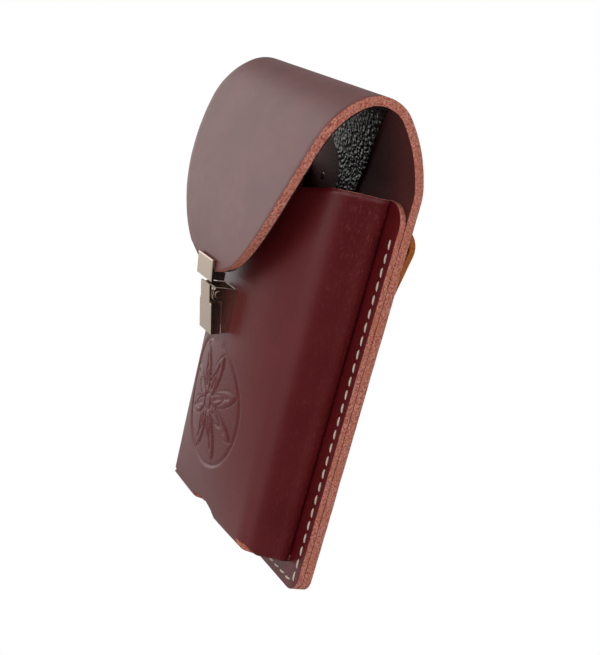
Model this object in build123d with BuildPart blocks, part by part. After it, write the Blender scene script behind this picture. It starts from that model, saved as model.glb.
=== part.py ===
from build123d import *
from math import atan2, cos, degrees, radians, sin
import os

os.makedirs("parts", exist_ok=True)

# A tall belt-worn leather case: a wet-moulded pocket sewn to a thick back leather, whose upper
# end arches over the mouth as the flap and closes with a nickel lever catch.
# X runs across the case, +Y is the back, +Z is up. Y = 0 is the rear face of the back leather
# and Z = 0 is the middle of the belt in the belt loop, which is what carries the case.
# Heights below are measured from the pocket's bottom fold and turned into Z by up().

# ---- leathers -----------------------------------------------------------------------------
back_t = 3.8          # back panel and flap, one thick leather
front_t = 2.6         # moulded pocket leather and its sewn flange
floor_t = 3.0         # folded bottom wall of the pocket
lining_t = 0.8        # pebbled lining under the flap
strap_t = 3.0         # belt loop leather
soft_gap = 0.3        # clearance between pieces that move or merely rest near each other

# ---- pocket -------------------------------------------------------------------------------
pocket_w = 85.4
pocket_h = 150.0
pocket_d = 22.8       # bottom fold to the flange face
pocket_swell = 15.0   # how far the front bows out at the mouth
swell_power = 2.7     # how early the bow grows above the fold
fold_swell = 0.6      # bow left at the bottom fold
corner_r = 6.5        # moulded front corners
corner_turn = 45.0
flange_w = 10.5       # sewn flange beside the side walls
floor_drop = 2.4      # fall of the bottom wall from fold to flange
flange_drop = 12.2    # bottom edge of back and flange below the fold
foot_r = 7.0          # lower corner radius of back and flange
shoulder_r = 10.0     # upper corner radius of the flange
notch_w = 24.0        # drain notch in the bottom fold
notch_h = 4.5
notch_deep = 7.0
scoop_half = 40.5     # the mouth is scooped lower across the front
scoop_drop = 7.2

# ---- belt loop and belt -------------------------------------------------------------------
belt_height = 108.0   # middle of the belt above the bottom fold
strap_w = 65.0
strap_top = 150.0     # upper end of the strap
strap_shoulder = 139.5
strap_bulge = 18.2    # outer corner of the strap behind the back leather, before rounding
strap_foot = 60.0     # where the strap meets the back again
strap_end = 44.0
strap_bend_tight = 4.0
strap_bend_round = 8.0
strap_bend_foot = 30.0

# ---- flap ---------------------------------------------------------------------------------
bend_over = 2.0       # back leather left above the strap before the flap bends away
bend_h = strap_top + bend_over
bend_r = 23.6         # the flap's side profile is five tangent arcs, from the bend to the tip
rise_r = 60.7
crown_r = 17.3
brow_r = 35.4
face_r = 153.5
flap_arcs = ((bend_r, 15.1), (rise_r, 26.1), (crown_r, 83.7), (brow_r, 38.4), (face_r, 21.6))
flap_tip_run = 6.0    # straight end that carries the tongue
cheek_half = 50.5     # half widths of the flap's front, and how far each lies below the bend line
cheek_drop = -3.0
jaw_half = 40.9
jaw_drop = 22.4
chin_half = 28.6
chin_drop = 38.2
tip_half = 10.8
tip_drop = 48.8
flap_outline = ((cheek_half, cheek_drop), (jaw_half, jaw_drop), (chin_half, chin_drop),
                (tip_half, tip_drop))
crown_rise = 36.0     # top of the flap above the bend line
tail_half = 9.0       # the lining narrows behind the crown to a tail at the bend line
tail_middle = (20.5, 13.7)
tail_rise = 34.0      # where it reaches the flap's full width, above the bend line

# ---- catch --------------------------------------------------------------------------------
pin_under = 5.1       # foot of the pin's perpendicular on the leather, below the tongue's box
pin_off = 8.0         # lever pin in front of the pocket leather
seat_deep = 0.4       # pressed seat that takes the crown off the leather under the base
pin_d = 2.0
pin_head_d = 2.9
pin_head_t = 0.5
pin_fit = 0.1         # pin in the ears
pin_run = 0.3         # pin in the turning hub
sheet_t = 0.9         # nickelled steel sheet
fold_r = 0.45         # outer rounding of the folded sheet
plate_r = 1.5         # corners of the backing plates
base_w = 12.2
base_low = 16.6       # base below the pin
ear_half = 2.8
ear_reach = 2.1
ear_r = 1.6
lever_w = 12.6
lever_face = 3.3      # lever's outer face in front of the pin
lever_lean = 11.0     # lever's slope against the pocket leather
lever_top = 3.8
lever_sweep_r = 5.0
lever_step = 3.6      # shoulder of the lever below the pin
lever_low = 16.6
lever_wing = 4.3      # depth of the lever's side wings
hub_d = 3.8
spring_w = 3.2
spring_t = 0.4
spring_low = 1.5      # lower end of the spring above the base's end
spring_foot = 4.5     # part of the spring that lies on the base
spring_bend = 2.0
catch_rivet_x = 3.4
tongue_w = 16.0
tongue_up = 5.0       # front plate above the flap's tip
tongue_box_h = 3.4    # box under the flap's tip
tongue_lip = 0.5      # front plate below the box
tongue_proud = 1.3    # front plate stands off the grain at the tip
tongue_lean = 5.0     # and leans out from the flap above it
tongue_back_w = 13.0
tongue_back_h = 6.2
rivet_d = 2.0
rivet_head_d = 3.2
rivet_head_t = 0.7
rivet_fit = 0.1
tongue_rivet_x = 3.6
tongue_rivet_up = 2.3
tongue_head_t = 0.4

# ---- loop rivets and thread ---------------------------------------------------------------
stud_d = 3.4
stud_head_d = 6.0
stud_head_t = 1.2
stud_x = 24.0
stud_edge = 3.9       # stud from the end of the strap
stitch_pitch = 5.6
stitch_len = 4.4
thread_d = 1.0
seam_inset = 3.6      # seam from the outer edge
seam_top = 139.0


def up(height):
    """Part Z of a height above the pocket's bottom fold."""
    return height - belt_height


def swell(height):
    """How far the pocket front stands out at its middle, at a height above the fold."""
    share = max(0.0, min(1.0, height / pocket_h))
    return fold_swell + (pocket_swell - fold_swell) * (1 - (1 - share) ** swell_power)


panel_half = pocket_w / 2 + flange_w
flange_y = -(back_t + front_t)
fold_y = flange_y - pocket_d
panel_low = up(-flange_drop)
panel_top = up(bend_h) - soft_gap / 2


# ============================ flap profile ==================================================
def flap_line(inset):
    """Tangent arcs of the flap's side profile, inset from its grain face; returns both ends."""
    start = point = Vector(-inset, up(bend_h) + soft_gap / 2)
    heading = Vector(0, 1)
    for radius, turn in flap_arcs:
        arc = JernArc(point, heading, radius - inset, turn)
        point, heading = arc @ 1, arc % 1
    tip = point + heading * flap_tip_run
    Line(point, tip)
    return start, tip, heading


def flap_band(outer_inset, inner_inset):
    """Side view of one layer of the flap."""
    with BuildSketch(Plane.YZ) as band:
        with BuildLine():
            outer = flap_line(outer_inset)
            inner = flap_line(inner_inset)
            Line(outer[0], inner[0])
            Line(outer[1], inner[1])
        make_face()
    return band.sketch


with BuildLine() as profile:
    _, tip, tip_heading = flap_line(0)
crown_y = profile.edges()[2].arc_center.X

# The tongue is set out on the flap's tip: local Y runs up the flap, local Z out of its grain.
tip_plane = Plane(origin=(0, tip.X, tip.Y), x_dir=(1, 0, 0),
                  z_dir=(0, tip_heading.Y, -tip_heading.X))
tongue_plane = tip_plane.rotated((tongue_lean, 0, 0))
tongue_low = -tongue_box_h - rivet_fit
tongue_foot = tip_plane.from_local_coords(Vector(0, tongue_low, 0))

# The catch is set out on the pocket's middle line, square to the leather under it.
pin_h = tongue_foot.Z + belt_height - pin_under
seat_lean = degrees(atan2(swell(pin_h) - swell(pin_h - base_low), base_low))
catch_normal = Vector(0, -cos(radians(seat_lean)), -sin(radians(seat_lean)))
seat_plane = Plane(origin=(0, fold_y - swell(pin_h) + seat_deep, up(pin_h)),
                   x_dir=(1, 0, 0), z_dir=catch_normal)
pin_centre = seat_plane.from_local_coords(Vector(0, 0, pin_off))
catch_side = Plane(origin=pin_centre, x_dir=catch_normal, z_dir=(-1, 0, 0))
lever_tilt = radians(seat_lean + lever_lean)
lever_side = Plane(origin=pin_centre, x_dir=(0, -cos(lever_tilt), -sin(lever_tilt)), z_dir=(-1, 0, 0))
base_middle = (ear_half - base_low) / 2
base_long = ear_half + base_low
catch_rivets_at = [(x, base_middle) for x in (-catch_rivet_x, catch_rivet_x)]


# ============================ back leather ==================================================
stud_places = [
    (side * stud_x, up(height))
    for height in (strap_top - stud_edge, strap_end + stud_edge)
    for side in (-1, 1)
]

with BuildPart() as back_panel:
    with BuildSketch(Plane.XZ):
        with Locations((0, (panel_low + panel_top) / 2)):
            outline = Rectangle(2 * panel_half, panel_top - panel_low)
        fillet(outline.vertices().group_by(Axis.Z)[0], foot_r)
        with Locations(*stud_places):
            Circle(stud_d / 2 + rivet_fit, mode=Mode.SUBTRACT)
    extrude(amount=back_t)


# ============================ pocket ========================================================
def pocket_section(height, z, inset, back_y):
    """Closed outline of the pocket at one height, inset by a wall, back edge at back_y.

    Each front corner turns through corner_turn, and the bowed front runs between their ends.
    """
    half = pocket_w / 2 - inset
    front = fold_y + inset
    radius = corner_r - inset
    turn = radians(corner_turn)

    def corner_point(angle):
        return half - radius + radius * cos(angle), front + radius - radius * sin(angle)

    start, middle, end = (corner_point(angle) for angle in (0, turn / 2, turn))
    with BuildSketch(Plane.XY.offset(z)) as section:
        with BuildLine():
            Polyline(start, (half, back_y), (-half, back_y), (-start[0], start[1]))
            ThreePointArc(start, middle, end)
            ThreePointArc(end, (0, front - swell(height)), (-end[0], end[1]))
            ThreePointArc((-end[0], end[1]), (-middle[0], middle[1]), (-start[0], start[1]))
        make_face()
    return section.sketch


def pocket_block(inset, back_y, lift, shares, ruled):
    """The pocket's outer form, or its inside when inset by a wall and lifted by the floor."""
    bottom = up(-floor_drop)
    under = bottom - floor_t
    back_z = up(0) - floor_drop * (back_y - fold_y) / pocket_d
    far_y = fold_y - pocket_swell
    with BuildPart() as block:
        loft(sections=[pocket_section(0, bottom, inset, back_y)]
             + [pocket_section(pocket_h * share, up(pocket_h * share), inset, back_y)
                for share in shares], ruled=ruled)
        with BuildSketch(Plane.YZ):
            with BuildLine():
                Polyline((far_y, up(0) + lift), (fold_y, up(0) + lift), (back_y, back_z + lift),
                         (back_y, under), (far_y, under), close=True)
            make_face()
        extrude(amount=pocket_w, both=True, mode=Mode.SUBTRACT)
    return block.part


outer_form = pocket_block(0, flange_y, 0, (0.2, 0.47, 0.74, 1), False)
cavity_form = pocket_block(front_t, -back_t, floor_t, (0.22, 0.46, 0.58, 0.7, 1), True)

with BuildPart() as pocket_front:
    add(outer_form)
    with BuildSketch(Plane.XZ.offset(back_t)) as flange_outline:
        with Locations((0, (panel_low + up(pocket_h)) / 2)):
            Rectangle(2 * panel_half, up(pocket_h) - panel_low)
        fillet(flange_outline.vertices().group_by(Axis.Y)[0], foot_r)
        fillet(flange_outline.vertices().group_by(Axis.Y)[-1], shoulder_r)
    extrude(amount=front_t)
    add(cavity_form, mode=Mode.SUBTRACT)
    with BuildSketch(Plane.XZ.offset(-fold_y - notch_deep)) as notch:
        with BuildLine():
            Polyline((-notch_w / 2, up(-notch_h)), (-notch_w / 3, up(notch_h)),
                     (notch_w / 3, up(notch_h)), (notch_w / 2, up(-notch_h)), close=True)
        make_face()
        fillet(notch.vertices().group_by(Axis.Y)[-1], notch_h / 2)
    extrude(amount=notch_deep + pocket_swell, mode=Mode.SUBTRACT)
    with BuildSketch(Plane.XZ.offset(-fold_y - corner_r)):
        with BuildLine():
            mouth = up(pocket_h)
            ThreePointArc((-scoop_half, mouth), (0, mouth - scoop_drop), (scoop_half, mouth))
            Polyline((scoop_half, mouth), (scoop_half, mouth + scoop_drop),
                     (-scoop_half, mouth + scoop_drop), (-scoop_half, mouth))
        make_face()
    extrude(amount=corner_r + 2 * pocket_swell, mode=Mode.SUBTRACT)
    with BuildSketch(seat_plane):
        with Locations((0, base_middle)):
            Rectangle(base_w + 2 * rivet_fit, base_long + 2 * rivet_fit)
    extrude(amount=front_t, mode=Mode.SUBTRACT)
    with BuildSketch(seat_plane):
        with Locations(*catch_rivets_at):
            Circle(rivet_d / 2 + rivet_fit)
    extrude(amount=-2 * front_t, mode=Mode.SUBTRACT)


# ============================ flap ==========================================================
with BuildSketch(Plane.XZ.offset(-crown_y)) as flap_waste:
    with Locations((0, up(bend_h))):
        Rectangle(4 * panel_half, 4 * crown_rise)
    with BuildLine():
        crown_z = up(bend_h + crown_rise)
        bottom_z = up(bend_h - tip_drop) - flap_tip_run
        side = Spline([(panel_half, crown_z)]
                      + [(half, up(bend_h - drop)) for half, drop in flap_outline],
                      tangents=[(0, -1), (-1, -0.5)])
        mirror(side, about=Plane.YZ)
        Polyline((-panel_half, crown_z), (-panel_half, crown_z + back_t),
                 (panel_half, crown_z + back_t), (panel_half, crown_z))
        Polyline((tip_half, up(bend_h - tip_drop)), (tip_half, bottom_z), (-tip_half, bottom_z),
                 (-tip_half, up(bend_h - tip_drop)))
    make_face(mode=Mode.SUBTRACT)


def flap_layer(outer_inset, inner_inset):
    """One layer of the flap, cut to its outline and pierced for the tongue's rivets."""
    with BuildPart() as layer:
        extrude(flap_band(outer_inset, inner_inset), amount=panel_half, both=True)
        extrude(flap_waste.sketch, amount=2 * crown_rise, mode=Mode.SUBTRACT)
        with BuildSketch(tip_plane):
            with Locations(*tongue_rivets_at):
                Circle(rivet_d / 2 + rivet_fit)
        extrude(amount=-2 * back_t, mode=Mode.SUBTRACT)
    return layer


tongue_rivets_at = [(x, tongue_rivet_up) for x in (-tongue_rivet_x, tongue_rivet_x)]
tongue_stack = back_t + lining_t
flap_leather = flap_layer(0, back_t)
with BuildPart() as flap_lining:
    add(flap_layer(back_t, tongue_stack).part)
    with BuildSketch(Plane.XZ.offset(-crown_y)):
        with BuildLine():
            tail_arc = ThreePointArc((tail_half, up(bend_h)), (tail_middle[0], up(bend_h) + tail_middle[1]),
                                     (panel_half, up(bend_h) + tail_rise))
            Polyline(tail_arc @ 1, (2 * panel_half, up(bend_h) + tail_rise),
                     (2 * panel_half, up(bend_h)), tail_arc @ 0)
        make_face()
        mirror(about=Plane.YZ)
    extrude(amount=-2 * crown_rise, mode=Mode.SUBTRACT)

# ============================ tongue ========================================================
def rivet_group(face, places, grip, shank_d, head_d, head_t):
    """Rivets through a stack: a head on its face and a shank closed flush behind the grip."""
    with BuildPart() as group:
        for width, depth in ((head_d, head_t), (shank_d, -grip)):
            with BuildSketch(face):
                with Locations(*places):
                    Circle(width / 2)
            extrude(amount=depth)
    return group


# Front plate and the box under the tip are one folded sheet; the box closes behind the lining
# against the backing plate.
with BuildPart() as tongue_plate:
    with BuildSketch(tongue_plane):
        with Locations((0, (tongue_up + tongue_low - tongue_lip) / 2)):
            Rectangle(tongue_w, tongue_up - tongue_low + tongue_lip)
    extrude(amount=tongue_proud)
    fillet(tongue_plate.faces().sort_by(Axis(tip_plane.origin, tip_plane.z_dir))[-1].edges(), fold_r)
    with BuildSketch(tongue_plane.offset(-sheet_t)):
        with Locations((0, tongue_up / 2)):
            Rectangle(tongue_w - 2 * sheet_t, tongue_up + sheet_t)
    extrude(amount=tongue_proud, mode=Mode.SUBTRACT)
    with BuildSketch(tip_plane):
        with Locations((0, tongue_low + tongue_box_h / 2)):
            Rectangle(tongue_back_w, tongue_box_h)
    extrude(amount=-tongue_stack - sheet_t)
    with BuildSketch(tip_plane.offset(-sheet_t)):
        with Locations((0, tongue_low + tongue_box_h / 2)):
            Rectangle(tongue_back_w - 2 * sheet_t, tongue_box_h - 2 * sheet_t)
    extrude(amount=tongue_proud - tongue_stack, mode=Mode.SUBTRACT)

with BuildPart() as tongue_backing_plate:
    with BuildSketch(tip_plane.offset(-tongue_stack)):
        with Locations((0, tongue_back_h / 2)):
            RectangleRounded(tongue_back_w, tongue_back_h - 2 * rivet_fit, plate_r)
        with Locations(*tongue_rivets_at):
            Circle(rivet_d / 2 + rivet_fit, mode=Mode.SUBTRACT)
    extrude(amount=-sheet_t)

tongue_rivets = rivet_group(tip_plane, tongue_rivets_at, tongue_stack + sheet_t,
                            rivet_d, rivet_head_d, tongue_head_t)


# ============================ catch on the pocket ===========================================
base_front = lever_face - lever_wing - soft_gap
base_half = base_w / 2
backing_deep = front_t - seat_deep + 2 * soft_gap

with BuildPart() as catch_base:
    with BuildSketch(catch_side) as ear:
        with Locations(((ear_reach - pin_off) / 2, 0)):
            Rectangle(ear_reach + pin_off, 2 * ear_half)
        fillet(ear.vertices().sort_by(Axis.X)[-2:], ear_r)
    extrude(amount=base_half, both=True)
    with BuildSketch(lever_side):
        with Locations((base_front - pin_off, -base_low / 2)):
            Rectangle(2 * pin_off, base_low)
    extrude(amount=base_half, both=True)
    split(bisect_by=seat_plane, keep=Keep.TOP)
    with BuildSketch(catch_side):
        with Locations((sheet_t, 0)):
            Rectangle(2 * pin_off, 3 * base_low)
    extrude(amount=base_half - sheet_t, both=True, mode=Mode.SUBTRACT)
    with BuildSketch(catch_side):
        Circle(pin_d / 2 + pin_fit / 2)
    extrude(amount=base_w, both=True, mode=Mode.SUBTRACT)
    with BuildSketch(seat_plane):
        with Locations(*catch_rivets_at):
            Circle(rivet_d / 2 + rivet_fit)
    extrude(amount=2 * sheet_t, mode=Mode.SUBTRACT)

with BuildPart() as catch_lever:
    with BuildSketch(lever_side):
        with Locations((lever_face - lever_wing / 2, -(lever_low + lever_step) / 2)):
            Rectangle(lever_wing, lever_low - lever_step)
    extrude(amount=lever_w / 2, both=True)
    fillet(catch_lever.faces().sort_by(Axis(pin_centre, lever_side.x_dir))[-1].edges(), fold_r)
    with BuildSketch(lever_side):
        with Locations((lever_face - sheet_t - lever_wing, -lever_low)):
            Rectangle(2 * lever_wing, 4 * lever_low)
    extrude(amount=lever_w / 2 - sheet_t, both=True, mode=Mode.SUBTRACT)
    with BuildSketch(lever_side):
        with Locations((lever_face - sheet_t / 2, lever_top / 2)):
            Rectangle(sheet_t, lever_top)
        Circle(lever_sweep_r, mode=Mode.INTERSECT)
        with Locations((lever_face - sheet_t / 2, -lever_step / 2)):
            Rectangle(sheet_t, lever_step + 2 * sheet_t)
    extrude(amount=base_half - sheet_t - soft_gap, both=True)
    with BuildSketch(lever_side):
        Circle(hub_d / 2)
        with Locations((lever_face / 2, 0)):
            Rectangle(lever_face, hub_d)
    extrude(amount=base_half - sheet_t - soft_gap, both=True)
    with BuildSketch(lever_side):
        with Locations((lever_face / 2, 0)):
            Rectangle(lever_face - 2 * sheet_t, hub_d)
        Circle(hub_d / 2, mode=Mode.SUBTRACT)
    extrude(amount=base_half - 2 * sheet_t - soft_gap, both=True, mode=Mode.SUBTRACT)
    with BuildSketch(lever_side):
        Circle((pin_d + pin_run) / 2)
    extrude(amount=base_w, both=True, mode=Mode.SUBTRACT)

with BuildPart() as lever_pin:
    with BuildSketch(catch_side):
        Circle(pin_d / 2)
    extrude(amount=base_half + pin_head_t, both=True)
    for side in (-1, 1):
        with BuildSketch(catch_side.offset(side * base_half)):
            Circle(pin_head_d / 2)
        extrude(amount=side * pin_head_t)

spring_floor = sheet_t + spring_t / 2 - pin_off
spring_rest = -hub_d / 2 - soft_gap - spring_t / 2
with BuildPart() as lever_spring:
    with BuildSketch(catch_side):
        with BuildLine():
            FilletPolyline((spring_floor, spring_low - base_low),
                           (spring_floor, spring_low + spring_foot - base_low),
                           (spring_rest, -hub_d / 2), (spring_rest, hub_d / 3), radius=spring_bend)
        trace(line_width=spring_t)
    extrude(amount=spring_w / 2, both=True)

with BuildPart() as catch_backing_plate:
    with BuildSketch(seat_plane.offset(-backing_deep)):
        with Locations((0, base_middle)):
            RectangleRounded(base_w, base_long, plate_r)
        with Locations(*catch_rivets_at):
            Circle(rivet_d / 2 + rivet_fit, mode=Mode.SUBTRACT)
    extrude(amount=-sheet_t)

catch_rivets = rivet_group(seat_plane.offset(sheet_t), catch_rivets_at, backing_deep + 2 * sheet_t,
                           rivet_d, rivet_head_d, rivet_head_t)


# ============================ belt loop =====================================================
with BuildPart() as belt_loop:
    with BuildSketch(Plane.YZ):
        with BuildLine():
            FilletPolyline((strap_t / 2, up(strap_top)),
                           (strap_t / 2, up(strap_shoulder)),
                           (strap_bulge - strap_t / 2, up(strap_shoulder) - strap_t),
                           (strap_t / 2, up(strap_foot)),
                           (strap_t / 2, up(strap_end)),
                           radius=[strap_bend_tight, strap_bend_round, strap_bend_foot])
        trace(line_width=strap_t)
    extrude(amount=strap_w / 2, both=True)
    with BuildSketch(Plane.XZ):
        with Locations(*stud_places):
            Circle(stud_d / 2 + rivet_fit)
    extrude(amount=-2 * strap_t, mode=Mode.SUBTRACT)

strap_face = Plane(origin=(0, strap_t, 0), x_dir=(-1, 0, 0), z_dir=(0, 1, 0))
belt_loop_rivets = rivet_group(strap_face, stud_places, back_t + strap_t,
                               stud_d, stud_head_d, stud_head_t)


# ============================ seam ==========================================================
# One thread runs down a side, across the bottom and up the other side, and shows on both faces.
seam_x = panel_half - seam_inset
seam_low = seam_inset - flange_drop
side_stitches = int((seam_top - seam_low) / stitch_pitch)
foot_stitches = int(2 * seam_x / stitch_pitch)
side_middle = up(seam_low + side_stitches * stitch_pitch / 2)


def stitch_row(centre, across, count_x, count_z):
    """Stitches on both faces of the sewn leathers; across is True for the row along the bottom."""
    size = (stitch_len, thread_d) if across else (thread_d, stitch_len)
    with BuildPart() as row:
        for face, lift in ((Plane.XZ.offset(back_t + front_t), thread_d / 2), (Plane.XZ, -thread_d / 2)):
            with BuildSketch(face):
                with Locations(centre):
                    with GridLocations(stitch_pitch, stitch_pitch, count_x, count_z):
                        Rectangle(*size)
            extrude(amount=lift, taper=20)
    return row


seam_thread_right = stitch_row((seam_x, side_middle), False, 1, side_stitches)
seam_thread_left = stitch_row((-seam_x, side_middle), False, 1, side_stitches)
seam_thread_bottom = stitch_row((0, up(seam_low)), True, foot_stitches, 1)


# ============================ pieces ========================================================
pieces = {
    "back_panel": back_panel,
    "pocket_front": pocket_front,
    "belt_loop": belt_loop,
    "belt_loop_rivets": belt_loop_rivets,
    "seam_thread_right": seam_thread_right,
    "seam_thread_left": seam_thread_left,
    "seam_thread_bottom": seam_thread_bottom,
    "catch_base": catch_base,
    "catch_backing_plate": catch_backing_plate,
    "catch_rivets": catch_rivets,
    "lever_spring": lever_spring,
    "lever_pin": lever_pin,
    "catch_lever": catch_lever,
    "flap_leather": flap_leather,
    "flap_lining": flap_lining,
    "tongue_plate": tongue_plate,
    "tongue_backing_plate": tongue_backing_plate,
    "tongue_rivets": tongue_rivets,
}
for name, piece in pieces.items():
    piece.part.label = name
    export_step(piece.part, f"parts/{name}.step")
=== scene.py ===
import math

import bmesh
import bpy
from mathutils import Matrix, Vector, noise


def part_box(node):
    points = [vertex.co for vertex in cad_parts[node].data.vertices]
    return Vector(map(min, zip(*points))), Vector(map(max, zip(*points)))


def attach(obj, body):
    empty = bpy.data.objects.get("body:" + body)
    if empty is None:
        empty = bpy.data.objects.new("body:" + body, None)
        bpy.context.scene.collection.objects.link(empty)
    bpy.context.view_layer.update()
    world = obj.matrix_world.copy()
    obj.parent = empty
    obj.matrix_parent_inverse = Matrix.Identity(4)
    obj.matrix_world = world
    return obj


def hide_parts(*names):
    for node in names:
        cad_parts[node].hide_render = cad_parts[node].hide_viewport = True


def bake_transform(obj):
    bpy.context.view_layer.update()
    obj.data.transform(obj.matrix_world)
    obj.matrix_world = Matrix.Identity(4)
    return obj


# A tall belt-worn leather case with an arched flap and a nickel lever catch.
# Shapes are worked out in millimetres in the part's own frame: X across, +Y to the back, +Z up,
# Y = 0 on the rear face of the back leather. made() turns a finished mesh into metres.

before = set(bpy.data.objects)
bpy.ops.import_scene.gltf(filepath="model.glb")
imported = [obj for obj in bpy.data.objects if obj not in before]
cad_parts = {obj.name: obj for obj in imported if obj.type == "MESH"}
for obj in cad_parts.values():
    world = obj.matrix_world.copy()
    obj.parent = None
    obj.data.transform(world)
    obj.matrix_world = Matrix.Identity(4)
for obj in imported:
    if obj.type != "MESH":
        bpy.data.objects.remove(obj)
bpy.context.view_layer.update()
MM = 0.001


def corners(node):
    """Lowest and highest corner of a CAD node, in millimetres."""
    low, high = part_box(node)
    return low / MM, high / MM


# ---- sizes read from the frame --------------------------------------------------------------
back_low, back_high = corners("back_panel")
loop_low, loop_high = corners("belt_loop")
rivets_low, rivets_high = corners("belt_loop_rivets")

panel_half = back_high.x
panel_foot = back_low.z
mouth_z = corners("pocket_front")[1].z
crown_z = corners("flap_leather")[1].z
back_t = -back_low.y

# ---- leathers -------------------------------------------------------------------------------
front_t = 2.6
lining_t = 0.8
strap_t = 3.0
edge_round = 0.45      # burnished arris of a cut edge
flange_y = -(back_t + front_t)

# ---- pocket ---------------------------------------------------------------------------------
pocket_tall = 150.0
fold_z = mouth_z - pocket_tall
pocket_half = 42.7
fold_y = flange_y - 22.8
fold_bow = 0.6         # bow of the front at the bottom fold
mouth_bow = 15.0       # and at the mouth
bow_power = 2.7
corner_low = 7.0       # reach of the moulded corner along the front, at the fold
corner_high = 4.6      # and at the mouth
fold_r = 3.0
floor_fall = 2.4       # the bottom wall falls this much from the fold to the flange
flange_in = pocket_half - front_t
swell = 0.55           # the side wall swells out a little above the flange,
swell_at = 4.5
swell_reach = 2.4
crease = 0.7           # and is pressed in along it
crease_reach = 1.1
notch_half = 12.0      # half round drain notch in the bottom fold
notch_tall = 4.5
notch_back = 7.0
scoop_half = 40.5      # the mouth is scooped lower across the front
scoop_drop = 7.2

# ---- flap -----------------------------------------------------------------------------------
bend_z = back_high.z + 0.15
flap_arcs = ((23.6, 15.1), (60.7, 26.1), (17.3, 83.7), (35.4, 38.4), (153.5, 21.6))
tip_run = 6.0
flap_drop = 85.8       # the flap's outline is half of a superellipse this tall below the crown
flap_power = 2.35
foot_r = 7.0
shoulder_r = 10.0
tail_half = 8.5        # the lining narrows behind the crown to a tail down the back
tail_end = 20.0        # end of the tail below the bend
flare_half = 44.0      # half width where the flare meets the flap's own edge
flare_from = 6.0       # the flare starts this far below the bend
flare_len = 45.0
flare_power = 1.7

# ---- tooled round on the pocket -------------------------------------------------------------
stamp_x = -3.4
stamp_z = fold_z + 46.5
stamp_r = 27.2
stamp_deep = 1.05
stamp_margin = 28.5    # the mesh is fine up to here above and below the middle
stamp_fine = 30.0      # and up to here across
petals = 8

# ---- belt strap, heights above the bottom fold ----------------------------------------------
strap_leaves = 60.0    # the strap leaves the back,
strap_bulge = 136.5    # stands off furthest
strap_returns = 139.5  # and is back on the leather
strap_over = 0.9       # its rounding takes this much off the bulge
strap_bends = (30, 8, 4)
rivet_head_r = 3.0
rivet_head_rise = 1.25
rivet_inner_r = 1.7
rivet_inner_rise = 0.12

# ---- seam -----------------------------------------------------------------------------------
stitch_pitch = 5.6
stitch_long = 4.7
stitch_wide = 0.52     # half width
stitch_thick = 0.45    # half thickness
stitch_dive = 0.55     # how deep its ends go
stitch_lean = 7        # degrees off the seam line
stitch_lift = 0.12     # its middle stands this far off the leather
row_end = 2.2          # from the end of a row to the middle of its first stitch

MIX_A, MIX_B, MIX_OUT = 6, 7, 2     # colour sockets of a Mix node


# ============================ materials ======================================================
def linear(code):
    """Linear RGBA of an sRGB hex colour."""
    parts = [int(code[i:i + 2], 16) / 255 for i in (1, 3, 5)]
    return [*(p / 12.92 if p <= 0.04045 else ((p + 0.055) / 1.055) ** 2.4 for p in parts), 1.0]


def add(tree, kind, inputs=None, **settings):
    """Adds a shader node, sets its properties, and fills or links its inputs."""
    made_node = tree.nodes.new(kind)
    for name, value in settings.items():
        setattr(made_node, name, value)
    for name, value in (inputs or {}).items():
        if isinstance(value, bpy.types.NodeSocket):
            tree.links.new(value, made_node.inputs[name])
        else:
            made_node.inputs[name].default_value = value
    return made_node


def per(size):
    """Scale of a pattern on Object coordinates whose features are this many millimetres wide."""
    return 1 / (size * MM)


def new_material(name):
    material = bpy.data.materials.new(name)
    material.use_nodes = True
    material.node_tree.nodes.clear()
    return material, material.node_tree


def close_material(tree, inputs):
    """Ends a material in one principled shader."""
    shader = add(tree, "ShaderNodeBsdfPrincipled", inputs)
    add(tree, "ShaderNodeOutputMaterial", {"Surface": shader.outputs["BSDF"]})


def oiled_bridle_grain():
    """Bridle butt, drum dyed burgundy and waxed: close even pores, a soft bloom of wax, few marks."""
    material, tree = new_material("oiled_bridle_grain")
    place = add(tree, "ShaderNodeTexCoord").outputs["Object"]
    cloud = add(tree, "ShaderNodeTexNoise", {"Vector": place, "Scale": per(24), "Detail": 3.0})
    bloom = add(tree, "ShaderNodeTexNoise", {"Vector": place, "Scale": per(3.2), "Detail": 4.0})
    depth = add(tree, "ShaderNodeMapRange", {"Value": cloud.outputs["Fac"], "From Min": 0.35,
                                             "From Max": 0.7})
    dye = add(tree, "ShaderNodeMix", {"Factor": depth.outputs["Result"], MIX_A: linear("#5b2726"),
                                      MIX_B: linear("#683330")}, data_type="RGBA")
    wax = add(tree, "ShaderNodeMapRange", {"Value": bloom.outputs["Fac"], "From Min": 0.3,
                                           "From Max": 0.75, "To Max": 0.28})
    colour = add(tree, "ShaderNodeMix", {"Factor": wax.outputs["Result"],
                                         MIX_A: dye.outputs[MIX_OUT],
                                         MIX_B: linear("#744543")}, data_type="RGBA")
    pores = add(tree, "ShaderNodeTexNoise", {"Vector": place, "Scale": per(0.5), "Detail": 3.0})
    gloss = add(tree, "ShaderNodeMapRange", {"Value": bloom.outputs["Fac"], "To Min": 0.36,
                                             "To Max": 0.52})
    bump = add(tree, "ShaderNodeBump", {"Height": pores.outputs["Fac"], "Strength": 0.18,
                                        "Distance": 0.1 * MM})
    close_material(tree, {"Base Color": colour.outputs[MIX_OUT], "Roughness": gloss.outputs["Result"],
                          "Normal": bump.outputs["Normal"]})
    return material


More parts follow.
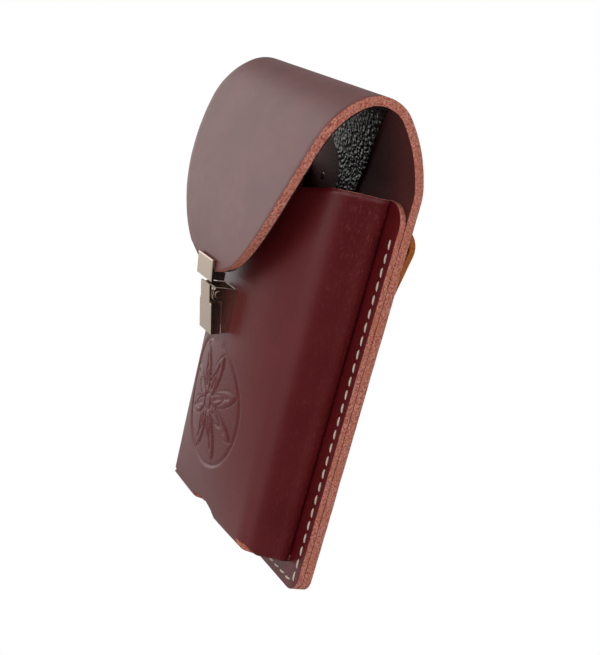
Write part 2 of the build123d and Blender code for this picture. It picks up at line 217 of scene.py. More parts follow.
def wet_moulded_grain():
    """Burgundy side leather moulded wet: smooth on the front, pulled into fine creases where
    the mesh's strain weight says the leather was worked over the form. Pale flecks on those
    creases are painted highlights: glints of light on the crease ridges, not a colour of the leather."""
    material, tree = new_material("wet_moulded_grain")
    place = add(tree, "ShaderNodeTexCoord").outputs["Object"]
    strain_and_glint = add(tree, "ShaderNodeAttribute", attribute_name="strain_and_glint").outputs["Fac"]
    cloud = add(tree, "ShaderNodeTexNoise", {"Vector": place, "Scale": per(18), "Detail": 3.0})
    dye = add(tree, "ShaderNodeMix", {"Factor": cloud.outputs["Fac"], MIX_A: linear("#54090f"),
                                      MIX_B: linear("#68161b")}, data_type="RGBA")
    # Creases run up the wall, about 1.1 mm apart, so the pattern is stretched along Z.
    drawn = add(tree, "ShaderNodeMapping", {"Vector": place, "Scale": (1.0, 1.0, 0.45)})
    creases = add(tree, "ShaderNodeTexNoise", {"Vector": drawn.outputs["Vector"], "Scale": per(1.1),
                                               "Detail": 5.0, "Roughness": 0.7})
    # Pale flecks on the crease ridges, weighted by strain: a painted highlight standing in for glints
    # of light.
    pale = add(tree, "ShaderNodeMapRange", {"Value": creases.outputs["Fac"], "From Min": 0.56,
                                            "From Max": 0.72})
    painted_glint = add(tree, "ShaderNodeMath", {0: pale.outputs["Result"], 1: strain_and_glint},
                  operation="MULTIPLY")
    colour = add(tree, "ShaderNodeMix", {"Factor": painted_glint.outputs["Value"],
                                         MIX_A: dye.outputs[MIX_OUT],
                                         MIX_B: linear("#8a3a3c")}, data_type="RGBA")
    pores = add(tree, "ShaderNodeTexNoise", {"Vector": place, "Scale": per(0.5), "Detail": 3.0})
    pulled = add(tree, "ShaderNodeMath", {0: creases.outputs["Fac"], 1: strain_and_glint},
                 operation="MULTIPLY")
    relief = add(tree, "ShaderNodeMath", {0: pores.outputs["Fac"], 1: 0.4,
                                          2: pulled.outputs["Value"]}, operation="MULTIPLY_ADD")
    gloss = add(tree, "ShaderNodeMapRange", {"Value": cloud.outputs["Fac"], "To Min": 0.34,
                                             "To Max": 0.46})
    bump = add(tree, "ShaderNodeBump", {"Height": relief.outputs["Value"], "Strength": 0.8,
                                        "Distance": 0.25 * MM})
    close_material(tree, {"Base Color": colour.outputs[MIX_OUT], "Roughness": gloss.outputs["Result"],
                          "Normal": bump.outputs["Normal"]})
    return material


def raw_edge(name, fibre, gap, stain):
    """Cut edge of vegetable-tanned leather, left raw: matt fibre bundles, darker gaps and stains."""
    material, tree = new_material(name)
    place = add(tree, "ShaderNodeTexCoord").outputs["Object"]
    fibres = add(tree, "ShaderNodeTexNoise", {"Vector": place, "Scale": per(0.9), "Detail": 6.0,
                                              "Roughness": 0.75})
    patches = add(tree, "ShaderNodeTexNoise", {"Vector": place, "Scale": per(9), "Detail": 2.0})
    open_gap = add(tree, "ShaderNodeMapRange", {"Value": fibres.outputs["Fac"], "From Min": 0.4,
                                                "From Max": 0.62})
    base = add(tree, "ShaderNodeMix", {"Factor": open_gap.outputs["Result"], MIX_A: linear(gap),
                                       MIX_B: linear(fibre)}, data_type="RGBA")
    worn = add(tree, "ShaderNodeMapRange", {"Value": patches.outputs["Fac"], "From Min": 0.45,
                                            "From Max": 0.7, "To Max": 0.55})
    colour = add(tree, "ShaderNodeMix", {"Factor": worn.outputs["Result"],
                                         MIX_A: base.outputs[MIX_OUT],
                                         MIX_B: linear(stain)}, data_type="RGBA")
    bump = add(tree, "ShaderNodeBump", {"Height": fibres.outputs["Fac"], "Strength": 0.7,
                                        "Distance": 0.4 * MM})
    close_material(tree, {"Base Color": colour.outputs[MIX_OUT], "Roughness": 0.85,
                          "Normal": bump.outputs["Normal"]})
    return material


def flesh_side():
    """The inner, flesh side of the bridle leather: dyed through, matt and slightly napped."""
    material, tree = new_material("bridle_flesh_side")
    place = add(tree, "ShaderNodeTexCoord").outputs["Object"]
    nap = add(tree, "ShaderNodeTexNoise", {"Vector": place, "Scale": per(1.4), "Detail": 5.0})
    colour = add(tree, "ShaderNodeMix", {"Factor": nap.outputs["Fac"], MIX_A: linear("#3d0c09"),
                                         MIX_B: linear("#5c1a14")}, data_type="RGBA")
    bump = add(tree, "ShaderNodeBump", {"Height": nap.outputs["Fac"], "Strength": 0.4,
                                        "Distance": 0.3 * MM})
    close_material(tree, {"Base Color": colour.outputs[MIX_OUT], "Roughness": 0.75,
                          "Normal": bump.outputs["Normal"]})
    return material


def pebbled_lining():
    """Black pebble-embossed lining leather: shiny round pebbles about 1.5 mm across, their tops
    painted lighter as a highlight.
    """
    material, tree = new_material("pebbled_black_lining")
    place = add(tree, "ShaderNodeTexCoord").outputs["Object"]
    drift = add(tree, "ShaderNodeTexNoise", {"Vector": place, "Scale": per(2.0), "Detail": 2.0})
    moved = add(tree, "ShaderNodeMix", {"Factor": 0.0012, MIX_A: place,
                                        MIX_B: drift.outputs["Color"]}, data_type="RGBA")
    pebbles = add(tree, "ShaderNodeTexVoronoi", {"Vector": moved.outputs[MIX_OUT],
                                                 "Scale": per(1.5)}, feature="SMOOTH_F1")
    pebble_top_and_highlight = add(tree, "ShaderNodeMapRange", {"Value": pebbles.outputs["Distance"], "From Min": 0.6,
                                             "From Max": 0.1})
    # The lighter colour on the pebble tops is a painted highlight. The same value raises the pebbles
    # in the bump.
    colour = add(tree, "ShaderNodeMix", {"Factor": pebble_top_and_highlight.outputs["Result"], MIX_A: linear("#1c1413"),
                                         MIX_B: linear("#3a2c2a")}, data_type="RGBA")
    bump = add(tree, "ShaderNodeBump", {"Height": pebble_top_and_highlight.outputs["Result"], "Strength": 0.9,
                                        "Distance": 0.45 * MM})
    close_material(tree, {"Base Color": colour.outputs[MIX_OUT], "Roughness": 0.34,
                          "Normal": bump.outputs["Normal"]})
    return material


def russet_strap():
    """Undyed russet harness leather: warm orange tan, waxed, deepening in soft clouds."""
    material, tree = new_material("russet_harness_leather")
    place = add(tree, "ShaderNodeTexCoord").outputs["Object"]
    cloud = add(tree, "ShaderNodeTexNoise", {"Vector": place, "Scale": per(14), "Detail": 4.0})
    pores = add(tree, "ShaderNodeTexNoise", {"Vector": place, "Scale": per(0.6), "Detail": 3.0})
    colour = add(tree, "ShaderNodeMix", {"Factor": cloud.outputs["Fac"], MIX_A: linear("#8e3c0c"),
                                         MIX_B: linear("#b45a16")}, data_type="RGBA")
    bump = add(tree, "ShaderNodeBump", {"Height": pores.outputs["Fac"], "Strength": 0.2,
                                        "Distance": 0.1 * MM})
    close_material(tree, {"Base Color": colour.outputs[MIX_OUT], "Roughness": 0.42,
                          "Normal": bump.outputs["Normal"]})
    return material


def metal(name, tone, roughness, streak):
    """Plated or polished sheet: fine rolling lines that only break up the reflection a little."""
    material, tree = new_material(name)
    place = add(tree, "ShaderNodeTexCoord").outputs["Object"]
    drawn = add(tree, "ShaderNodeMapping", {"Vector": place, "Scale": (1.0, 1.0, 0.08)})
    lines = add(tree, "ShaderNodeTexNoise", {"Vector": drawn.outputs["Vector"], "Scale": per(0.5),
                                             "Detail": 2.0})
    dull = add(tree, "ShaderNodeMapRange", {"Value": lines.outputs["Fac"],
                                            "To Min": roughness - streak,
                                            "To Max": roughness + streak})
    bump = add(tree, "ShaderNodeBump", {"Height": lines.outputs["Fac"], "Strength": 0.05,
                                        "Distance": 0.05 * MM})
    close_material(tree, {"Base Color": linear(tone), "Metallic": 1.0,
                          "Roughness": dull.outputs["Result"], "Normal": bump.outputs["Normal"]})
    return material


def waxed_thread():
    """Waxed linen thread, off-white, two strands laid together."""
    material, tree = new_material("waxed_linen_thread")
    place = add(tree, "ShaderNodeTexCoord").outputs["Object"]
    strands = add(tree, "ShaderNodeTexNoise", {"Vector": place, "Scale": per(0.45), "Detail": 3.0})
    colour = add(tree, "ShaderNodeMix", {"Factor": strands.outputs["Fac"], MIX_A: linear("#a89684"),
                                         MIX_B: linear("#e6dccf")}, data_type="RGBA")
    bump = add(tree, "ShaderNodeBump", {"Height": strands.outputs["Fac"], "Strength": 0.5,
                                        "Distance": 0.2 * MM})
    close_material(tree, {"Base Color": colour.outputs[MIX_OUT], "Roughness": 0.6,
                          "Normal": bump.outputs["Normal"]})
    return material


grain = oiled_bridle_grain()
moulded = wet_moulded_grain()
salmon = raw_edge("raw_edge_salmon", "#dc9482", "#8f3d28", "#b4654a")
russet_edge = raw_edge("raw_edge_russet", "#d07a2a", "#a04a14", "#b85f1c")
flesh = flesh_side()
lining = pebbled_lining()
strap_leather = russet_strap()
nickel = metal("nickel_plated_steel", "#c6b3a2", 0.2, 0.05)
spring_steel = metal("blued_spring_steel", "#6d6a68", 0.3, 0.06)
thread = waxed_thread()


# ============================ shapes =========================================================
def made(name, mesh, body, materials, stands_for=()):
    """Turns a mesh in millimetres into an object of the scene that rides on a body."""
    bmesh.ops.scale(mesh, vec=(MM, MM, MM), verts=mesh.verts)
    data = bpy.data.meshes.new(name)
    mesh.to_mesh(data)
    mesh.free()
    for material in materials:
        data.materials.append(material)
    for face in data.polygons:
        face.use_smooth = True
    piece = bpy.data.objects.new(name, data)
    bpy.context.scene.collection.objects.link(piece)
    if body:
        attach(piece, body)
    if stands_for:
        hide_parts(*stands_for)
    return piece


def steps(start, end, step):
    """Evenly spaced values from start up to, but without, end."""
    count = max(1, round(abs(end - start) / step))
    return [start + (end - start) * i / count for i in range(count)]


def turned(vector, angle):
    """A direction in Y and Z turned to the left."""
    return Vector((vector.x * math.cos(angle) - vector.y * math.sin(angle),
                   vector.x * math.sin(angle) + vector.y * math.cos(angle)))


class Track:
    """A side profile in Y and Z: runs of a length, each turning left through an angle."""

    def __init__(self, start, heading, runs):
        self.runs = []
        self.length = 0.0
        point, way = Vector(start), Vector(heading).normalized()
        for length, turn in runs:
            self.runs.append((self.length, length, turn, point, way))
            point, way = self.follow(length, length, turn, point, way)
            self.length += length

    @staticmethod
    def follow(far, length, turn, point, way):
        if abs(turn) < 1e-6:
            return point + way * far, way
        radius = length / turn
        left = turned(way, math.pi / 2)
        angle = far / radius
        return point + (left - turned(left, angle)) * radius, turned(way, angle)

    def at(self, along):
        """The point and the heading at a distance along the profile."""
        chosen = [run for run in self.runs if run[0] <= along] or self.runs[:1]
        begun, length, turn, point, way = chosen[-1]
        return self.follow(along - begun, length, turn, point, way)

    def stations(self, step_straight, step_round):
        places = []
        for begun, length, turn, _, _ in self.runs:
            places += steps(begun, begun + length, step_round if turn else step_straight)
        return places + [self.length]


def rounded_runs(points, radii):
    """Runs of a Track through corner points, each corner rounded with its radius."""
    points = [Vector(p) for p in points]
    runs, spare = [], 0.0
    for i in range(1, len(points)):
        leg = points[i] - points[i - 1]
        if i == len(points) - 1:
            runs.append((leg.length - spare, 0.0))
            break
        onward = points[i + 1] - points[i]
        turn = math.atan2(leg.x * onward.y - leg.y * onward.x, leg.dot(onward))
        cut = radii[i - 1] * math.tan(abs(turn) / 2)
        runs += [(leg.length - spare - cut, 0.0), (radii[i - 1] * abs(turn), turn)]
        spare = cut
    return runs


def leather_strip(track, stations, columns, half_width, top, thick, wave=0.0):
    """Leather cut flat to an outline, its arrises rounded, then bent along a side profile.

    top is the depth of its outer face inwards from the profile. Materials: 0 outer face, 1 inner
    face, 2 cut edge."""
    mesh = bmesh.new()
    bmesh.ops.create_grid(mesh, x_segments=columns, y_segments=len(stations) - 1, size=1)
    for vert in mesh.verts:
        along = stations[round((vert.co.y + 1) / 2 * (len(stations) - 1))]
        half = half_width(along) + wave * noise.noise(Vector((along / 9, vert.co.x * 3, 0)))
        vert.co = (vert.co.x * half, along, 0)
    bmesh.ops.solidify(mesh, geom=mesh.faces[:], thickness=thick)
    bmesh.ops.recalc_face_normals(mesh, faces=mesh.faces)
    lift = top - min(vert.co.z for vert in mesh.verts)
    bmesh.ops.translate(mesh, vec=(0, 0, lift), verts=mesh.verts)
    rims = [edge for edge in mesh.edges if edge.calc_face_angle(0) > 1]
    bmesh.ops.bevel(mesh, geom=rims, offset=min(edge_round, thick / 3), offset_type="OFFSET",
                    segments=2, profile=0.5, affect="EDGES", material=-1, clamp_overlap=True)
    shallow = min(0.3, thick / 5)
    for face in mesh.faces:
        depth = face.calc_center_median().z - top
        face.material_index = 0 if depth < shallow else 1 if depth > thick - shallow else 2
    for vert in mesh.verts:
        point, way = track.at(vert.co.y)
        inward = turned(way, math.pi / 2) * vert.co.z
        vert.co = (vert.co.x, point.x + inward.x, point.y + inward.y)
    return mesh


# ============================ back and flap ==================================================
flap_track = Track((0, panel_foot), (0, 1),
                   [(bend_z - panel_foot, 0.0)]
                   + [(radius * math.radians(turn), math.radians(turn)) for radius, turn in flap_arcs]
                   + [(tip_run, 0.0)])
bend_along = bend_z - panel_foot
rise_along = bend_along + sum(radius * math.radians(turn) for radius, turn in flap_arcs[:2])
crown_along = rise_along + flap_arcs[2][0] * math.radians(90 - sum(t for _, t in flap_arcs[:2]))


def bridle_half(along):
    """Half width of the back and flap at a distance from the bottom edge."""
    if along < foot_r:
        return panel_half - foot_r + math.sqrt(foot_r ** 2 - (foot_r - along) ** 2)
    if along < crown_along:
        return panel_half
    below = (crown_z - flap_track.at(along)[0].y) / flap_drop
    return panel_half * math.sqrt(max(0.0, 1 - below ** flap_power))


def back_and_flap():
    stations = sorted({foot_r * (1 - math.cos(math.radians(15 * i))) for i in range(6)}
                      | {s for s in flap_track.stations(5.0, 1.5) if s >= foot_r})
    mesh = leather_strip(flap_track, stations, 36, bridle_half, 0.0, back_t, wave=0.35)
    piece = made("bridle_back_and_flap", mesh, None, [grain, flesh, salmon],
                 ("back_panel", "flap_leather"))
    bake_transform(piece)
    return piece


def lining_half(along):
    """Half width of the lining, from the rounded end of its tail to the flap's tip."""
    above = along - bend_along
    if above < tail_half - tail_end:
        return max(1.0, math.sqrt(max(0.0, tail_half ** 2 - (tail_half - tail_end - above) ** 2)))
    flare = max(0.0, (above + flare_from) / flare_len) ** flare_power
    return min(bridle_half(along) - 0.9, tail_half + (flare_half - tail_half) * flare)


def flap_lining():
    begin = bend_along - tail_end
    stations = ([begin + tail_half * (1 - math.cos(math.radians(15 * i))) for i in range(6)]
                + steps(begin + tail_half, bend_along, 2.0)
                + [s for s in flap_track.stations(2.0, 1.5) if s > bend_along + 0.1])
    mesh = leather_strip(flap_track, stations, 30, lining_half, back_t, lining_t)
    piece = made("pebbled_flap_lining", mesh, None, [lining, lining, lining],
                 ("flap_lining",))
    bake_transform(piece)
    return piece


# ============================ pocket =========================================================
def bow_at(height):
    """How far the middle of the front bows out at a height above the bottom fold."""
    share = max(0.0, min(1.0, height / pocket_tall))
    return fold_bow + (mouth_bow - fold_bow) * (1 - (1 - share) ** bow_power)


def pocket_point(across, height):
    """Outer face of the pocket. across is -1 to 1 over the bowed front, to 2 round the moulded
    corner and to 3 along the side wall to the flange."""
    rise = bow_at(height)
    reach = corner_low + (corner_high - corner_low) * height / pocket_tall
    bow_r = (pocket_half ** 2 + rise ** 2) / (2 * rise)
    run = pocket_half - reach
    drop = math.sqrt(bow_r ** 2 - run ** 2)
    crest_y = fold_y - rise
    side = math.copysign(1, across)
    share = abs(across)
    if share <= 1:
        x = share * run
        return Vector((side * x, crest_y + bow_r - math.sqrt(bow_r ** 2 - x ** 2), fold_z + height))
    start_y = crest_y + bow_r - drop
    knee_y = start_y + reach * run / drop
    if share <= 2:
        t = share - 1
        x = run + (pocket_half - run) * (1 - (1 - t) ** 2)
        y = start_y * (1 - t) ** 2 + knee_y * 2 * t * (1 - t) + (knee_y + reach) * t * t
        return Vector((side * x, y, fold_z + height))
    y = knee_y + reach + (flange_y - knee_y - reach) * (share - 2)
    to_flange = flange_y - y
    foot = swell * math.exp(-((to_flange - swell_at) / swell_reach) ** 2)
    foot -= crease * math.exp(-(to_flange / crease_reach) ** 2)
    return Vector((side * (pocket_half + foot), y, fold_z + height))


def pocket_cut(across):
    """Height of the wall's cut lower edge: above the fold round the front corner, where the
    fold's raw side shows, then falling past the bottom wall."""
    y = pocket_point(across, fold_r).y
    low = min(0.0, -floor_fall * (y - fold_y) / (flange_y - fold_y)) - 0.3
    fall = max(0.0, min(1.0, (abs(across) - 1.35) / 0.75))
    return fold_r + (low - fold_r) * fall * fall * (3 - 2 * fall)


def stamp_relief(x, z):
    """Depth of the tooled round: a ring, and in it a rosette of ribbed petals round an eye."""
    x, z = x - stamp_x, z - stamp_z
    far, angle = math.hypot(x, z), math.atan2(x, z)
    if far > stamp_r + 3:
        return 0.0
    depth = math.exp(-((far - stamp_r + 0.8) / 0.9) ** 2)
    turn = (angle * petals / math.tau) % 1 - 0.5
    leaf = 19.5 * (1 - abs(2 * turn) ** 1.3) + 5.5
    depth = max(depth, 0.9 * math.exp(-((far - leaf) / 0.95) ** 2) if far > 5 else 0.0)
    inner = 11.5 * (1 - abs(2 * turn) ** 1.3) + 4.0
    depth = max(depth, 0.7 * math.exp(-((far - inner) / 0.75) ** 2) if far > 4 else 0.0)
    rib = abs(turn) * far * math.tau / petals
    if 6.5 < far < 20:
        depth = max(depth, 0.55 * math.exp(-(rib / 0.6) ** 2))
    depth = max(depth, 0.8 * math.exp(-((far - 3.4) / 0.55) ** 2))
    # Backgrounding between the petals is pressed down evenly.
    if leaf + 0.6 < far < stamp_r - 1.6:
        depth = max(depth, 0.45 + 0.12 * noise.noise(Vector((x * 1.2, z * 1.2, 0))))
    return depth * stamp_deep


def pocket_grid():
    """The front, the moulded corners and the side walls as one sheet. Each vertex keeps how much
    the leather was strained, a weight that also places painted glints on the creases, and its place
    across."""
    run = pocket_half - corner_low
    fine = stamp_fine / run
    right = (steps(0, fine, 0.55 / run) + steps(fine, 1, 1.6 / run)
             + [1 + i / 7 for i in range(7)] + steps(2, 3, 0.085) + [3.0])
    columns = [-a for a in reversed(right[1:])] + right
    stamp_low, stamp_high = stamp_z - fold_z - stamp_margin, stamp_z - fold_z + stamp_margin
    rows = (steps(fold_r, 2 * fold_r, 0.5) + steps(2 * fold_r, stamp_low, 2.5)
            + steps(stamp_low, stamp_high, 0.55) + steps(stamp_high, pocket_tall, 2.2)
            + [pocket_tall])
    mesh = bmesh.new()
    strain_and_glint = mesh.verts.layers.float.new("strain_and_glint")
    place = mesh.verts.layers.float.new("across")
    bmesh.ops.create_grid(mesh, x_segments=len(columns) - 1, y_segments=len(rows) - 1, size=1)
    for vert in mesh.verts:
        across = columns[round((vert.co.x + 1) / 2 * (len(columns) - 1))]
        height = rows[round((vert.co.y + 1) / 2 * (len(rows) - 1))]
        cut = pocket_cut(across)
        mouth_x = pocket_point(across, pocket_tall).x
        top = pocket_tall - scoop_drop * max(0.0, 1 - (mouth_x / scoop_half) ** 2)
        level = cut + (height - fold_r) * (top - cut) / (pocket_tall - fold_r)
        if height == pocket_tall:
            level += 0.35 * noise.noise(Vector((across * 4, 1.7, 0)))
        vert.co = pocket_point(across, level)
        vert[place] = across
        # Strain weight: real creases in the bump, and also where the material paints its glints.
        high = max(0.0, (level - 95) / 55)
        rear = max(0.0, abs(across) - 2.55) / 0.45
        beside = min(1, max(0, abs(across) - 1.3))
        vert[strain_and_glint] = min(1.0, (0.35 + 0.65 * high + 0.5 * rear) * beside)
        if abs(across) < 1:
            vert.co.y += stamp_relief(vert.co.x, vert.co.z)
    return mesh, place


def fold_under(mesh, place):
    """Folds the front's lower edge under and carries it back to the flange as the bottom wall."""
    run = pocket_half - corner_low
    edges = [e for e in mesh.edges if e.is_boundary
             and all(abs(v[place]) <= 1.001 and v.co.z < fold_z + fold_r + 0.01 for v in e.verts)]
    corner_deep = pocket_point(2, fold_r).y - pocket_point(1, fold_r).y
    fold_steps = 4
    back_runs = [0.2, 0.45, 0.7, 1.0]
    for step in range(1, fold_steps + 1 + len(back_runs)):
        new = bmesh.ops.extrude_edge_only(mesh, edges=edges)["geom"]
        edges = [e for e in new if isinstance(e, bmesh.types.BMEdge)]
        for vert in (v for v in new if isinstance(v, bmesh.types.BMVert)):
            wall = pocket_point(vert[place], fold_r)
            angle = math.radians(90 / fold_steps * min(step, fold_steps))
            z = fold_z + fold_r - fold_r * math.sin(angle)
            y = wall.y + fold_r * (1 - math.cos(angle))
            if step > fold_steps:
                share = back_runs[step - fold_steps - 1]
                y = y + (flange_y - y) * share
                z = fold_z - floor_fall * share
            share = min(1.0, (y - wall.y) / corner_deep)
            edge_x = run + (corner_low - 0.35) * math.sqrt(1 - (1 - share) ** 2)
            vert.co = (vert[place] * edge_x, y, z)


def cut_notch(mesh):
    """Cuts the half round drain notch through the bottom fold and evens its rim."""
    front_y = pocket_point(0.001, fold_r).y
    notched = []
    for face in mesh.faces:
        middle = face.calc_center_median()
        share = max((middle.z - fold_z) / notch_tall, (middle.y - front_y) / notch_back)
        if share < 1 and abs(middle.x) < notch_half * math.sqrt(1 - max(0.0, share) ** 2):
            notched.append(face)
    bmesh.ops.delete(mesh, geom=notched, context="FACES")
    rim = [v for v in mesh.verts if v.is_boundary and abs(v.co.x) < notch_half + 2
           and v.co.z < fold_z + notch_tall + 2 and v.co.y < front_y + notch_back + 2]
    for _ in range(4):
        bmesh.ops.smooth_vert(mesh, verts=rim, factor=0.5, use_axis_x=True, use_axis_y=True,
                              use_axis_z=True)


def pocket_walls():
    """The moulded pocket: one leather bowed across the front, turned round the corners and
    folded under as the bottom wall."""
    mesh, place = pocket_grid()
    fold_under(mesh, place)
    cut_notch(mesh)
    piece = made("moulded_pocket", mesh, "case", [moulded, moulded, salmon],
                 ("pocket_front",))
    wall = piece.modifiers.new("thickness", "SOLIDIFY")
    wall.thickness = front_t * MM
    wall.offset = -1
    wall.use_even_offset = False
    wall.material_offset = 1
    wall.material_offset_rim = 2
    return piece


def flange():
    """The sewn U of the pocket leather, flat on the back panel."""
    mesh = bmesh.new()
    inner = [flange_in * i / 8 for i in range(-8, 9)]
    outer = [i / 3 for i in range(1, 4)]
    columns = ([-1 - o for o in reversed(outer)] + [i / flange_in for i in inner]
               + [1 + o for o in outer])
    low, high = panel_foot, mouth_z
    rows = ([low + foot_r * (1 - math.cos(math.radians(15 * i))) for i in range(6)]
            + steps(low + foot_r, fold_z, 3) + steps(fold_z, high - shoulder_r, 5)
            + [high - shoulder_r + shoulder_r * math.sin(math.radians(11.25 * i)) for i in range(9)])
    bmesh.ops.create_grid(mesh, x_segments=len(columns) - 1, y_segments=len(rows) - 1, size=1)
    for vert in mesh.verts:
        across = columns[round((vert.co.x + 1) / 2 * (len(columns) - 1))]
        z = rows[round((vert.co.y + 1) / 2 * (len(rows) - 1))]
        half = panel_half
        if z < low + foot_r:
            half += math.sqrt(max(0, foot_r ** 2 - (low + foot_r - z) ** 2)) - foot_r
        if z > high - shoulder_r:
            half += math.sqrt(max(0, shoulder_r ** 2 - (z - high + shoulder_r) ** 2)) - shoulder_r
        half += 0.3 * noise.noise(Vector((z / 8, across, 5)))
        x = min(1.0, abs(across)) * flange_in + max(0.0, abs(across) - 1) * (half - flange_in)
        vert.co = (math.copysign(x, across), z, 0)
    spare = [f for f in mesh.faces if abs(f.calc_center_median().x) < flange_in
             and f.calc_center_median().y > fold_z]
    bmesh.ops.delete(mesh, geom=spare, context="FACES")
    bmesh.ops.solidify(mesh, geom=mesh.faces[:], thickness=front_t)
    bmesh.ops.recalc_face_normals(mesh, faces=mesh.faces)
    bmesh.ops.translate(mesh, vec=(0, 0, back_t - min(v.co.z for v in mesh.verts)), verts=mesh.verts)
    rims = [e for e in mesh.edges if e.calc_face_angle(0) > 1]
    bmesh.ops.bevel(mesh, geom=rims, offset=edge_round, offset_type="OFFSET", segments=2, profile=0.5,
                    affect="EDGES", material=-1, clamp_overlap=True)
    for face in mesh.faces:
        depth = face.calc_center_median().z - back_t
        face.material_index = 0 if depth > front_t - 0.3 or depth < 0.3 else 1
    for vert in mesh.verts:
        vert.co = (vert.co.x, -vert.co.z, vert.co.y)
    return made("pocket_flange", mesh, "case", [moulded, salmon])


# ============================ belt loop ======================================================
def belt_strap():
    """The strap lies on the back, stands off it as the loop for the belt and returns."""
    middle = strap_t / 2
    points = [(middle, loop_low.z), (middle, fold_z + strap_leaves),
              (loop_high.y - middle + strap_over, fold_z + strap_bulge),
              (middle, fold_z + strap_returns), (middle, loop_high.z)]
    track = Track(points[0], (0, 1), rounded_runs(points, strap_bends))
    mesh = leather_strip(track, track.stations(3.0, 1.5), 20, lambda along: loop_high.x, -middle,
                         strap_t, wave=0.3)
    return made("russet_belt_strap", mesh, "case", [strap_leather, strap_leather, russet_edge],
                ("belt_loop",))


def untagged_verts(mesh):
    return list({v for f in mesh.faces for v in f.verts if not f.tag})


def domed_head(mesh, centre, radius, rise, outward):
    """One domed rivet head, spun round its axis and closed, standing on a face."""
    profile = [(radius, 0), (radius, rise * 0.25), (radius * 0.93, rise * 0.55),
               (radius * 0.7, rise * 0.85), (radius * 0.38, rise * 0.98), (0, rise)]
    verts = [mesh.verts.new((x, 0, z)) for x, z in profile]
    edges = [mesh.edges.new(pair) for pair in zip(verts, verts[1:])]
    bmesh.ops.spin(mesh, geom=verts + edges, cent=(0, 0, 0), axis=(0, 0, 1), angle=math.tau,
                   steps=28, use_merge=True)
    bmesh.ops.remove_doubles(mesh, verts=untagged_verts(mesh), dist=1e-4)
    turn = Vector((0, 0, 1)).rotation_difference(Vector(outward)).to_matrix().to_4x4()
    bmesh.ops.transform(mesh, matrix=Matrix.Translation(centre) @ turn, verts=untagged_verts(mesh))
    for face in mesh.faces:
        face.tag = True


def belt_rivets():
    mesh = bmesh.new()
    for x in (rivets_low.x + rivet_head_r, rivets_high.x - rivet_head_r):
        for z in (rivets_low.z + rivet_head_r, rivets_high.z - rivet_head_r):
            domed_head(mesh, (x, strap_t, z), rivet_head_r, rivet_head_rise, (0, 1, 0))
            domed_head(mesh, (x, -back_t, z), rivet_inner_r, rivet_inner_rise, (0, -1, 0))
    bmesh.ops.recalc_face_normals(mesh, faces=mesh.faces)
    return made("belt_strap_rivets", mesh, "case", [nickel], ("belt_loop_rivets",))


# ============================ stitches =======================================================
def stitch(mesh, middle, across, outward):
    """One plump stitch whose ends dive into the leather. It lies a little off the seam line."""
    ball = bmesh.ops.create_uvsphere(mesh, u_segments=8, v_segments=7, radius=1)["verts"]
    for vert in ball:
        along = vert.co.z
        dive = stitch_dive * along ** 4
        vert.co = (vert.co.x * stitch_wide, vert.co.y * stitch_thick - dive, along * stitch_long / 2)
    lean = Matrix.Rotation(math.radians(stitch_lean), 4, "Y")
    lay = Matrix.Rotation(math.pi / 2, 4, "Y") if across else Matrix.Identity(4)
    face = Matrix.Rotation(math.pi, 4, "Z") if outward < 0 else Matrix.Identity(4)
    bmesh.ops.transform(mesh, matrix=Matrix.Translation(middle) @ face @ lay @ lean, verts=ball)


def seam(name, node, across):
    """A row of stitches on both faces, standing where the CAD's plain stitches are."""
    low, high = corners(node)
    begin, end = (low.x, high.x) if across else (low.z, high.z)
    count = round((end - begin - 2 * row_end) / stitch_pitch) + 1
    mesh = bmesh.new()
    for i in range(count):
        along = begin + row_end + i * stitch_pitch
        x = along if across else (low.x + high.x) / 2
        z = (low.z + high.z) / 2 if across else along
        stitch(mesh, (x, flange_y - stitch_lift, z), across, -1)
        stitch(mesh, (x, stitch_lift, z), across, 1)
    return made(name, mesh, "case", [thread], (node,))


# ============================ catch ==========================================================
def softened(node, body, width, material):
    """A CAD node's shape with its facets merged and its arrises rounded as pressed sheet is."""
    mesh = bmesh.new()
    mesh.from_mesh(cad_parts[node].data)
    bmesh.ops.scale(mesh, vec=(1 / MM,) * 3, verts=mesh.verts)
    bmesh.ops.remove_doubles(mesh, verts=mesh.verts, dist=0.002)
    bmesh.ops.dissolve_limit(mesh, angle_limit=math.radians(1.5), verts=mesh.verts, edges=mesh.edges)
    sharp = [e for e in mesh.edges if e.calc_face_angle(0) > math.radians(35)]
    bmesh.ops.bevel(mesh, geom=sharp, offset=width, offset_type="OFFSET", segments=2, profile=0.5,
                    affect="EDGES", material=-1, clamp_overlap=True)
    for face in mesh.faces:
        face.material_index = 0
    piece = made(node + "_plated", mesh, body, [material], (node,))
    piece.modifiers.new("plate_shading", "WEIGHTED_NORMAL").keep_sharp = True
    return piece


# ============================ the object =====================================================
back_and_flap()
flap_lining()
pocket_walls()
flange()
belt_strap()
belt_rivets()
seam("stitches_right", "seam_thread_right", False)
seam("stitches_left", "seam_thread_left", False)
seam("stitches_foot", "seam_thread_bottom", True)
for node, body, width in (("catch_base", "case", 0.16), ("catch_lever", "lever", 0.16),
                          ("lever_pin", "case", 0.12), ("tongue_plate", "flap", 0.16)):
    softened(node, body, width, nickel)
for node, finish in (("catch_backing_plate", nickel), ("catch_rivets", nickel),
                     ("tongue_backing_plate", nickel), ("tongue_rivets", nickel),
                     ("lever_spring", spring_steel)):
    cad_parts[node].data.materials.clear()
    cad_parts[node].data.materials.append(finish)


# ============================ studio =========================================================
def softbox(name, place, size, energy):
    """A square lamp that faces the case."""
    data = bpy.data.lights.new(name, "AREA")
    data.shape = "SQUARE"
    data.size = size
    data.energy = energy
    lamp = bpy.data.objects.new(name, data)
    bpy.context.scene.collection.objects.link(lamp)
    lamp.location = place
    lamp.rotation_euler = (-lamp.location).to_track_quat("-Z", "Y").to_euler()


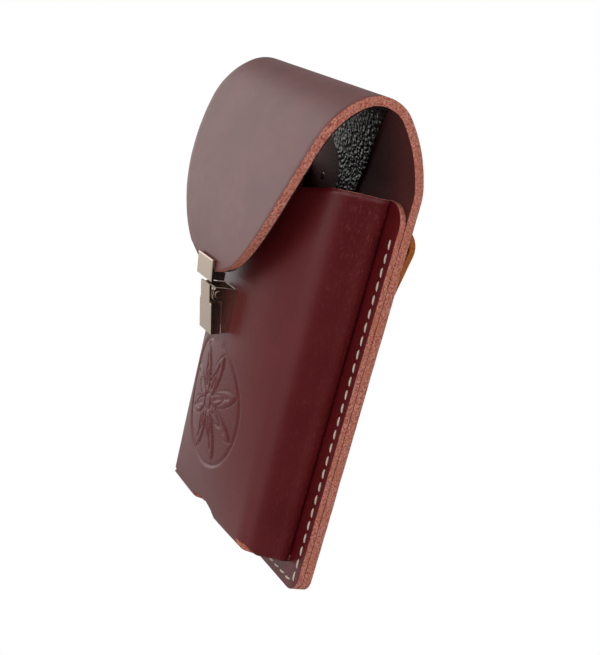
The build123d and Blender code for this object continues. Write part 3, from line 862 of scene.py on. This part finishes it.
def black_flag():
    """A black card behind the right side that only reflections see: it keeps polished sides dark."""
    toward = Vector((0.862, 0.463, -0.205))
    card = bmesh.new()
    bmesh.ops.create_grid(card, x_segments=1, y_segments=1, size=450)
    turn = toward.to_track_quat("Z", "Y").to_matrix().to_4x4()
    bmesh.ops.transform(card, matrix=Matrix.Translation(toward * 500) @ turn, verts=card.verts)
    material, tree = new_material("matt_black_card")
    close_material(tree, {"Base Color": linear("#050505"), "Roughness": 1.0})
    flag = made("black_flag", card, None, [material])
    flag.visible_camera = False
    flag.visible_diffuse = False
    flag.visible_shadow = False
    flag.visible_transmission = False


def studio():
    """White all round, a broad pale light from the left, a key in front and one on the cut edges."""
    world = bpy.data.worlds.new("white_studio")
    bpy.context.scene.world = world
    world.use_nodes = True
    tree = world.node_tree
    tree.nodes.clear()
    path = add(tree, "ShaderNodeLightPath")
    room = add(tree, "ShaderNodeBackground", {"Color": linear("#ffffff"), "Strength": 0.42})
    paper = add(tree, "ShaderNodeBackground", {"Color": linear("#ffffff"), "Strength": 1.0})
    seen = add(tree, "ShaderNodeMixShader", {0: path.outputs["Is Camera Ray"],
                                             1: room.outputs[0], 2: paper.outputs[0]})
    add(tree, "ShaderNodeOutputWorld", {"Surface": seen.outputs[0]})

    softbox("left_softbox", (-1.2, -0.75, 0.05), 1.6, 10.5)
    softbox("key", (0.6, -0.98, 0.5), 0.5, 4.7)
    softbox("top_right", (1.0, 0.1, 0.9), 0.8, 4.0)
    black_flag()

    ground = bmesh.new()
    bmesh.ops.create_grid(ground, x_segments=1, y_segments=1, size=3000)
    bmesh.ops.translate(ground, vec=(0, 0, panel_foot - 250), verts=ground.verts)
    material, tree = new_material("pale_floor")
    path = add(tree, "ShaderNodeLightPath")
    card = add(tree, "ShaderNodeBsdfDiffuse", {"Color": linear("#e6e6e4")})
    white = add(tree, "ShaderNodeEmission", {"Color": linear("#ffffff"), "Strength": 1.0})
    seen = add(tree, "ShaderNodeMixShader", {0: path.outputs["Is Camera Ray"],
                                             1: card.outputs[0], 2: white.outputs[0]})
    add(tree, "ShaderNodeOutputMaterial", {"Surface": seen.outputs[0]})
    floor = made("floor", ground, None, [material])


def camera():
    data = bpy.data.cameras.new("camera")
    data.sensor_fit = "VERTICAL"
    data.sensor_height = 36
    data.lens = 76.95
    eye = bpy.data.objects.new("camera", data)
    bpy.context.scene.collection.objects.link(eye)
    back = Vector((0.8623, -0.4632, 0.2048)).normalized()
    right = Vector((0.4078, 0.8748, 0.2616))
    right = (right - back * right.dot(back)).normalized()
    up = back.cross(right)
    eye.matrix_world = Matrix.Translation((0.5074, -0.2802, 0.0972)) @ Matrix(
        (right, up, back)).transposed().to_4x4()
    bpy.context.scene.camera = eye


studio()
camera()
bpy.context.scene.view_settings.view_transform = "Standard"

bpy.context.view_layer.update()
